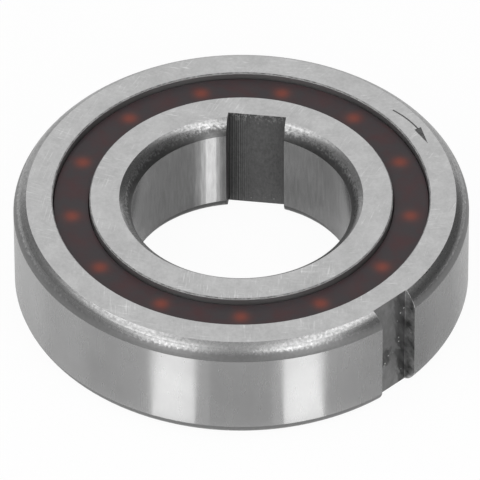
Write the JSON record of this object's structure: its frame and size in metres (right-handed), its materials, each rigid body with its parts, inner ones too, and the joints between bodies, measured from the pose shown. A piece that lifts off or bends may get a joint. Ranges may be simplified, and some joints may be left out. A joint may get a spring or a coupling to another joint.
{
  "type": "sprag clutch",
  "caption": "Ball supported sprag clutch: keyed inner and outer ring, resin cage, balls, garter springs and sprags that let the inner ring overrun one way and lock the other.",
  "frame": {"origin": "centre of the bore at half the width", "axes": "+Z along the clutch axis, out through the face with the direction arrow; +X out through the keyway of the outer ring"},
  "size_m": [0.0619, 0.062, 0.016],
  "materials": {
    "ring_steel": "ground side faces and bore, darker hard-turned corners",
    "ball_steel": "polished",
    "sprag_steel": "ground",
    "spring_steel": "drawn wire",
    "cage_resin": "dark red-brown translucent moulding"
  },
  "bodies": {
    "outer_ring": {"outer_ring": "ring_steel"},
    "inner_ring": {"inner_ring": "ring_steel"},
    "cage": {"cage_upper": "cage_resin", "cage_lower": "cage_resin", "garter_spring_upper": "spring_steel", "garter_spring_lower": "spring_steel"},
    "ball_01": {"ball_01": "ball_steel"},
    "ball_02": {"ball_02": "ball_steel"},
    "ball_03": {"ball_03": "ball_steel"},
    "ball_04": {"ball_04": "ball_steel"},
    "ball_05": {"ball_05": "ball_steel"},
    "ball_06": {"ball_06": "ball_steel"},
    "ball_07": {"ball_07": "ball_steel"},
    "ball_08": {"ball_08": "ball_steel"},
    "ball_09": {"ball_09": "ball_steel"},
    "ball_10": {"ball_10": "ball_steel"},
    "ball_11": {"ball_11": "ball_steel"},
    "ball_12": {"ball_12": "ball_steel"},
    "ball_13": {"ball_13": "ball_steel"},
    "sprag_01": {"sprag_01": "sprag_steel"},
    "sprag_02": {"sprag_02": "sprag_steel"},
    "sprag_03": {"sprag_03": "sprag_steel"},
    "sprag_04": {"sprag_04": "sprag_steel"},
    "sprag_05": {"sprag_05": "sprag_steel"},
    "sprag_06": {"sprag_06": "sprag_steel"},
    "sprag_07": {"sprag_07": "sprag_steel"},
    "sprag_08": {"sprag_08": "sprag_steel"},
    "sprag_09": {"sprag_09": "sprag_steel"},
    "sprag_10": {"sprag_10": "sprag_steel"},
    "sprag_11": {"sprag_11": "sprag_steel"},
    "sprag_12": {"sprag_12": "sprag_steel"},
    "sprag_13": {"sprag_13": "sprag_steel"}
  },
  "joints": [
    {"name": "inner_ring_spin", "type": "hinge", "parent": "outer_ring", "child": "inner_ring", "pos_m": [0, 0, 0], "axis": [0, 0, 1], "range_deg": [0, 3780]},
    {"name": "cage_orbit", "type": "hinge", "parent": "outer_ring", "child": "cage", "pos_m": [0, 0, 0], "axis": [0, 0, 1], "continuous": true},
    {"name": "ball_01_spin", "type": "hinge", "parent": "cage", "child": "ball_01", "pos_m": [0.01679, -0.01594, 0], "axis": [0, 0, 1], "continuous": true},
    {"name": "ball_02_spin", "type": "hinge", "parent": "cage", "child": "ball_02", "pos_m": [0.02227, -0.00631, 0], "axis": [0, 0, 1], "continuous": true},
    {"name": "ball_03_spin", "type": "hinge", "parent": "cage", "child": "ball_03", "pos_m": [0.02265, 0.00477, 0], "axis": [0, 0, 1], "continuous": true},
    {"name": "ball_04_spin", "type": "hinge", "parent": "cage", "child": "ball_04", "pos_m": [0.01784, 0.01475, 0], "axis": [0, 0, 1], "continuous": true},
    {"name": "ball_05_spin", "type": "hinge", "parent": "cage", "child": "ball_05", "pos_m": [0.00895, 0.02135, 0], "axis": [0, 0, 1], "continuous": true},
    {"name": "ball_06_spin", "type": "hinge", "parent": "cage", "child": "ball_06", "pos_m": [-0.002, 0.02306, 0], "axis": [0, 0, 1], "continuous": true},
    {"name": "ball_07_spin", "type": "hinge", "parent": "cage", "child": "ball_07", "pos_m": [-0.01249, 0.01949, 0], "axis": [0, 0, 1], "continuous": true},
    {"name": "ball_08_spin", "type": "hinge", "parent": "cage", "child": "ball_08", "pos_m": [-0.02012, 0.01145, 0], "axis": [0, 0, 1], "continuous": true},
    {"name": "ball_09_spin", "type": "hinge", "parent": "cage", "child": "ball_09", "pos_m": [-0.02314, 0.00079, 0], "axis": [0, 0, 1], "continuous": true},
    {"name": "ball_10_spin", "type": "hinge", "parent": "cage", "child": "ball_10", "pos_m": [-0.02085, -0.01005, 0], "axis": [0, 0, 1], "continuous": true},
    {"name": "ball_11_spin", "type": "hinge", "parent": "cage", "child": "ball_11", "pos_m": [-0.0138, -0.01859, 0], "axis": [0, 0, 1], "continuous": true},
    {"name": "ball_12_spin", "type": "hinge", "parent": "cage", "child": "ball_12", "pos_m": [-0.00358, -0.02287, 0], "axis": [0, 0, 1], "continuous": true},
    {"name": "ball_13_spin", "type": "hinge", "parent": "cage", "child": "ball_13", "pos_m": [0.00746, -0.02191, 0], "axis": [0, 0, 1], "continuous": true},
    {"name": "sprag_01_tilt", "type": "hinge", "parent": "cage", "child": "sprag_01", "pos_m": [0.02012, -0.01145, 0], "axis": [0, 0, 1], "range_deg": [-5, 0], "stiffness_Nm_per_rad": 0.002, "springref_deg": 5.73},
    {"name": "sprag_02_tilt", "type": "hinge", "parent": "cage", "child": "sprag_02", "pos_m": [0.02314, -0.00079, 0], "axis": [0, 0, 1], "range_deg": [-5, 0], "stiffness_Nm_per_rad": 0.002, "springref_deg": 5.73},
    {"name": "sprag_03_tilt", "type": "hinge", "parent": "cage", "child": "sprag_03", "pos_m": [0.02085, 0.01005, 0], "axis": [0, 0, 1], "range_deg": [-5, 0], "stiffness_Nm_per_rad": 0.002, "springref_deg": 5.73},
    {"name": "sprag_04_tilt", "type": "hinge", "parent": "cage", "child": "sprag_04", "pos_m": [0.0138, 0.01859, 0], "axis": [0, 0, 1], "range_deg": [-5, 0], "stiffness_Nm_per_rad": 0.002, "springref_deg": 5.73},
    {"name": "sprag_05_tilt", "type": "hinge", "parent": "cage", "child": "sprag_05", "pos_m": [0.00358, 0.02287, 0], "axis": [0, 0, 1], "range_deg": [-5, 0], "stiffness_Nm_per_rad": 0.002, "springref_deg": 5.73},
    {"name": "sprag_06_tilt", "type": "hinge", "parent": "cage", "child": "sprag_06", "pos_m": [-0.00746, 0.02191, 0], "axis": [0, 0, 1], "range_deg": [-5, 0], "stiffness_Nm_per_rad": 0.002, "springref_deg": 5.73},
    {"name": "sprag_07_tilt", "type": "hinge", "parent": "cage", "child": "sprag_07", "pos_m": [-0.01679, 0.01594, 0], "axis": [0, 0, 1], "range_deg": [-5, 0], "stiffness_Nm_per_rad": 0.002, "springref_deg": 5.73},
    {"name": "sprag_08_tilt", "type": "hinge", "parent": "cage", "child": "sprag_08", "pos_m": [-0.02227, 0.00631, 0], "axis": [0, 0, 1], "range_deg": [-5, 0], "stiffness_Nm_per_rad": 0.002, "springref_deg": 5.73},
    {"name": "sprag_09_tilt", "type": "hinge", "parent": "cage", "child": "sprag_09", "pos_m": [-0.02265, -0.00477, 0], "axis": [0, 0, 1], "range_deg": [-5, 0], "stiffness_Nm_per_rad": 0.002, "springref_deg": 5.73},
    {"name": "sprag_10_tilt", "type": "hinge", "parent": "cage", "child": "sprag_10", "pos_m": [-0.01784, -0.01475, 0], "axis": [0, 0, 1], "range_deg": [-5, 0], "stiffness_Nm_per_rad": 0.002, "springref_deg": 5.73},
    {"name": "sprag_11_tilt", "type": "hinge", "parent": "cage", "child": "sprag_11", "pos_m": [-0.00895, -0.02135, 0], "axis": [0, 0, 1], "range_deg": [-5, 0], "stiffness_Nm_per_rad": 0.002, "springref_deg": 5.73},
    {"name": "sprag_12_tilt", "type": "hinge", "parent": "cage", "child": "sprag_12", "pos_m": [0.002, -0.02306, 0], "axis": [0, 0, 1], "range_deg": [-5, 0], "stiffness_Nm_per_rad": 0.002, "springref_deg": 5.73},
    {"name": "sprag_13_tilt", "type": "hinge", "parent": "cage", "child": "sprag_13", "pos_m": [0.01249, -0.01949, 0], "axis": [0, 0, 1], "range_deg": [-5, 0], "stiffness_Nm_per_rad": 0.002, "springref_deg": 5.73}
  ],
  "couplings": [
    {"joint": "cage_orbit", "follows": "inner_ring_spin", "ratio": 0.44},
    {"joint": "ball_01_spin", "follows": "inner_ring_spin", "ratio": -4.1067},
    {"joint": "ball_02_spin", "follows": "inner_ring_spin", "ratio": -4.1067},
    {"joint": "ball_03_spin", "follows": "inner_ring_spin", "ratio": -4.1067},
    {"joint": "ball_04_spin", "follows": "inner_ring_spin", "ratio": -4.1067},
    {"joint": "ball_05_spin", "follows": "inner_ring_spin", "ratio": -4.1067},
    {"joint": "ball_06_spin", "follows": "inner_ring_spin", "ratio": -4.1067},
    {"joint": "ball_07_spin", "follows": "inner_ring_spin", "ratio": -4.1067},
    {"joint": "ball_08_spin", "follows": "inner_ring_spin", "ratio": -4.1067},
    {"joint": "ball_09_spin", "follows": "inner_ring_spin", "ratio": -4.1067},
    {"joint": "ball_10_spin", "follows": "inner_ring_spin", "ratio": -4.1067},
    {"joint": "ball_11_spin", "follows": "inner_ring_spin", "ratio": -4.1067},
    {"joint": "ball_12_spin", "follows": "inner_ring_spin", "ratio": -4.1067},
    {"joint": "ball_13_spin", "follows": "inner_ring_spin", "ratio": -4.1067},
    {"joint": "sprag_02_tilt", "follows": "sprag_01_tilt", "ratio": 1},
    {"joint": "sprag_03_tilt", "follows": "sprag_01_tilt", "ratio": 1},
    {"joint": "sprag_04_tilt", "follows": "sprag_01_tilt", "ratio": 1},
    {"joint": "sprag_05_tilt", "follows": "sprag_01_tilt", "ratio": 1},
    {"joint": "sprag_06_tilt", "follows": "sprag_01_tilt", "ratio": 1},
    {"joint": "sprag_07_tilt", "follows": "sprag_01_tilt", "ratio": 1},
    {"joint": "sprag_08_tilt", "follows": "sprag_01_tilt", "ratio": 1},
    {"joint": "sprag_09_tilt", "follows": "sprag_01_tilt", "ratio": 1},
    {"joint": "sprag_10_tilt", "follows": "sprag_01_tilt", "ratio": 1},
    {"joint": "sprag_11_tilt", "follows": "sprag_01_tilt", "ratio": 1},
    {"joint": "sprag_12_tilt", "follows": "sprag_01_tilt", "ratio": 1},
    {"joint": "sprag_13_tilt", "follows": "sprag_01_tilt", "ratio": 1}
  ]
}
